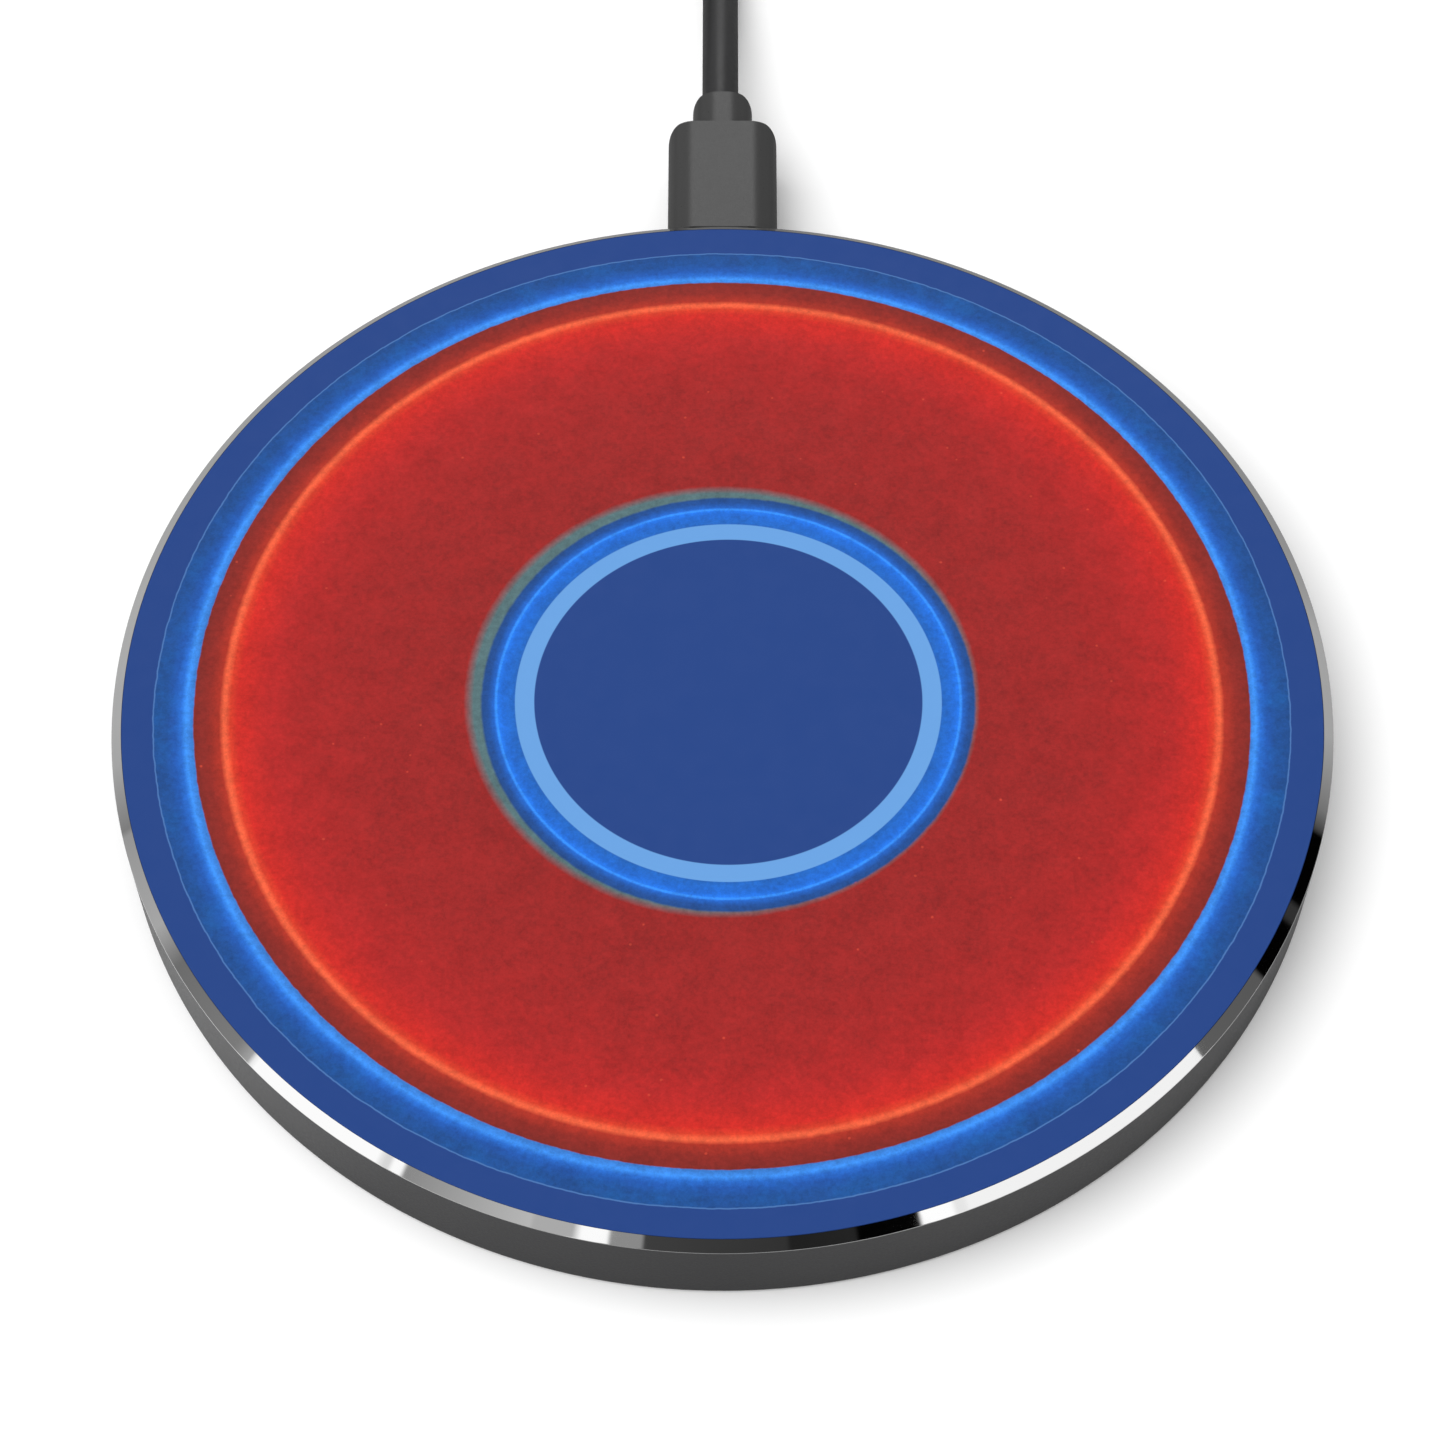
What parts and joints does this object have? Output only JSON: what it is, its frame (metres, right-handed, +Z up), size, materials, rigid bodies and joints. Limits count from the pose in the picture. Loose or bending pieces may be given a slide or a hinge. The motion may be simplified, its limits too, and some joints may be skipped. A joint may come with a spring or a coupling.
{
  "type": "wireless charging pad",
  "caption": "Thin round wireless charging pad: flat printed top panel in a bright bevelled ring, dark base shell, transmitter coil and board inside, detachable USB lead.",
  "frame": {"origin": "centre of the round pad on the surface that it stands on", "axes": "+Z up through the charging face; +Y from the centre towards the socket and the lead; +X to the right with the lead at the back"},
  "size_m": [0.1151, 0.1935, 0.0115],
  "materials": {
    "printed_panel": "satin print of concentric rings",
    "bright_bezel": "polished",
    "base_plastic": "fine moulded texture",
    "foot_silicone": "matte",
    "plated_steel": "nickel plated",
    "ferrite": "sintered ferrite, matte",
    "copper_wire": "enamelled copper strands",
    "adhesive_film": "translucent film",
    "board_laminate": "solder mask",
    "chip_package": "moulded epoxy",
    "capacitor_ceramic": "fired ceramic",
    "tinned_can": "tinned",
    "black_insulator": "moulded",
    "white_insulator": "moulded",
    "gold_contact": "gold plated",
    "lead_overmould": "satin moulded",
    "cable_jacket": "satin",
    "tie_fabric": "woven hook-and-loop"
  },
  "bodies": {
    "pad": {"top_panel": "printed_panel", "panel_adhesive_ring": "adhesive_film", "bezel_ring": "bright_bezel", "base_shell": "base_plastic", "foot_ring": "foot_silicone", "case_screw_1": "plated_steel", "case_screw_2": "plated_steel", "case_screw_3": "plated_steel", "case_screw_4": "plated_steel", "ferrite_shield": "ferrite", "charging_coil": "copper_wire", "coil_lead_outer": "copper_wire", "coil_lead_inner": "copper_wire", "coil_film": "adhesive_film", "temperature_sensor": "chip_package", "temperature_sensor_lead": "black_insulator", "control_board": "board_laminate", "board_screw_1": "plated_steel", "board_screw_2": "plated_steel", "controller_chip": "chip_package", "bridge_chip_1": "chip_package", "bridge_chip_2": "chip_package", "resonant_capacitor_1": "capacitor_ceramic", "resonant_capacitor_2": "capacitor_ceramic", "resonant_capacitor_3": "capacitor_ceramic", "resonant_capacitor_4": "capacitor_ceramic", "input_capacitor_1": "capacitor_ceramic", "input_capacitor_2": "capacitor_ceramic", "power_inductor": "ferrite", "clock_crystal": "tinned_can", "sense_resistor": "chip_package", "usb_receptacle_shell": "plated_steel", "usb_receptacle_insulator": "black_insulator"},
    "lead": {"micro_usb_shell": "plated_steel", "micro_usb_insert": "black_insulator", "micro_usb_overmould": "lead_overmould", "micro_usb_strain_relief": "lead_overmould", "cable_lead": "cable_jacket", "cable_coil": "cable_jacket", "cable_tail": "cable_jacket", "cable_tie": "tie_fabric", "usb_a_strain_relief": "lead_overmould", "usb_a_overmould": "lead_overmould", "usb_a_shell": "plated_steel", "usb_a_insulator": "white_insulator", "usb_a_contact_1": "gold_contact", "usb_a_contact_2": "gold_contact", "usb_a_contact_3": "gold_contact", "usb_a_contact_4": "gold_contact"}
  },
  "joints": [
    {"name": "plug_pull", "type": "slide", "parent": "pad", "child": "lead", "axis": [0, 1, 0], "range_m": [0, 0.0075]}
  ]
}
